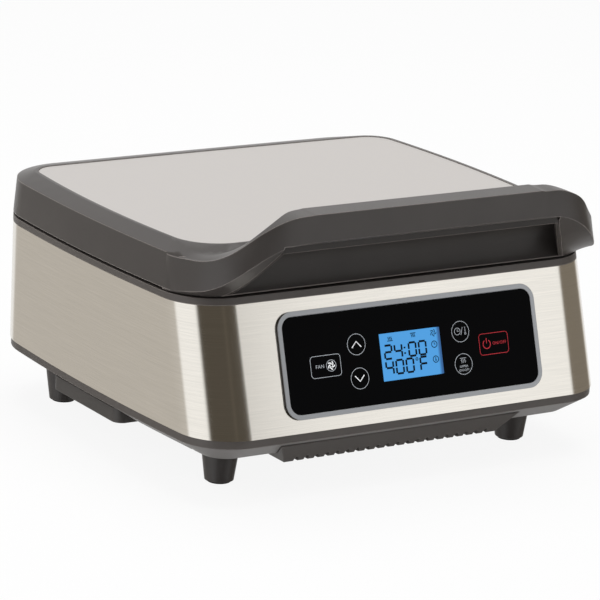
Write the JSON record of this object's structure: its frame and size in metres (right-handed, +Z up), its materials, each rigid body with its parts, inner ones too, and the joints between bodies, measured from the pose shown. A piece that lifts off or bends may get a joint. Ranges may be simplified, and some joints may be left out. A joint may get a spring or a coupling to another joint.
{
  "type": "smokeless electric grill",
  "caption": "Steel sided electric contact grill with a hinged lid and swept handle, touch panel, ridged plates, smoke fan and filter, and a drip tray that slides out of the side.",
  "frame": {"origin": "centre of the bounding box on the surface that the feet stand on", "axes": "+Z up, the control panel and handle face -Y, the drip tray slides out towards -X"},
  "size_m": [0.36, 0.334, 0.2076],
  "materials": {
    "dark_plastic": "fine moulded texture",
    "lid_plastic": "fine moulded texture",
    "liner_plastic": "fine moulded texture",
    "inner_plastic": "heat resistant moulding",
    "vent_plastic": "moulded",
    "tray_plastic": "moulded",
    "foot_plastic": "moulded",
    "catch_plastic": "moulded",
    "fan_plastic": "moulded",
    "inlet_plastic": "moulded",
    "brushed_steel": "fine horizontal brushing",
    "lid_steel": "satin",
    "silver_trim": "satin",
    "panel_glass": "gloss, printed from behind",
    "display": "backlit",
    "circuit_board": "lacquered board",
    "coated_aluminium": "dark non-stick coating",
    "heater_steel": "dull sheath",
    "reflector_sheet": "aluminised sheet",
    "filter_aluminium": "mill finish",
    "screw_steel": "zinc plated",
    "hinge_steel": "black coating",
    "pin_steel": "ground",
    "motor_steel": "plated can",
    "pad_rubber": "soft",
    "contact_brass": "plated"
  },
  "bodies": {
    "base": {"base_pan": "dark_plastic", "base_rim": "dark_plastic", "control_bezel": "silver_trim", "control_glass": "panel_glass", "fan_housing": "fan_plastic", "fan_motor": "motor_steel", "foot_front_left": "foot_plastic", "foot_front_right": "foot_plastic", "foot_pads": "pad_rubber", "foot_rear_left": "foot_plastic", "foot_rear_right": "foot_plastic", "front_vent": "vent_plastic", "grease_chute": "reflector_sheet", "hinge_ear_left": "hinge_steel", "hinge_ear_right": "hinge_steel", "hinge_pin_left": "pin_steel", "hinge_pin_right": "pin_steel", "inlet_pins": "contact_brass", "lcd_module": "display", "lid_bumpers": "pad_rubber", "lower_grill_plate": "coated_aluminium", "lower_heater": "heater_steel", "lower_probe": "heater_steel", "lower_reflector": "reflector_sheet", "pan_screws": "screw_steel", "power_board": "circuit_board", "power_inlet": "inlet_plastic", "smoke_filter": "filter_aluminium", "steel_wrap": "brushed_steel", "touch_board": "circuit_board", "tray_runners": "inner_plastic"},
    "lid": {"lid_frame": "lid_plastic", "lid_top_plate": "lid_steel", "handle_liner": "liner_plastic", "handle_screws": "screw_steel", "lid_liner": "inner_plastic", "liner_screws": "screw_steel", "upper_grill_plate": "coated_aluminium", "upper_heater": "heater_steel", "upper_reflector": "reflector_sheet", "upper_probe": "heater_steel", "hinge_leaf_left": "hinge_steel", "hinge_leaf_right": "hinge_steel"},
    "tray": {"drip_tray": "tray_plastic"},
    "fan": {"fan_rotor": "fan_plastic"},
    "lower_latch": {"lower_catch": "catch_plastic"},
    "upper_latch": {"upper_catch": "catch_plastic"}
  },
  "joints": [
    {"name": "lid_hinge", "type": "hinge", "parent": "base", "child": "lid", "pos_m": [0, 0.1615, 0.1502], "axis": [-1, 0, 0], "range_deg": [0, 100]},
    {"name": "tray_slide", "type": "slide", "parent": "base", "child": "tray", "axis": [-1, 0, 0], "range_m": [0, 0.13]},
    {"name": "fan_spin", "type": "hinge", "parent": "base", "child": "fan", "pos_m": [0.075, 0.04, 0.045], "axis": [0, 0, 1], "continuous": true},
    {"name": "lower_latch_slide", "type": "slide", "parent": "base", "child": "lower_latch", "axis": [0, -1, 0], "range_m": [0, 0.004], "stiffness_N_per_m": 250, "springref_m": -0.002},
    {"name": "upper_latch_slide", "type": "slide", "parent": "lid", "child": "upper_latch", "axis": [0, -1, 0], "range_m": [0, 0.004], "stiffness_N_per_m": 250, "springref_m": -0.002}
  ]
}
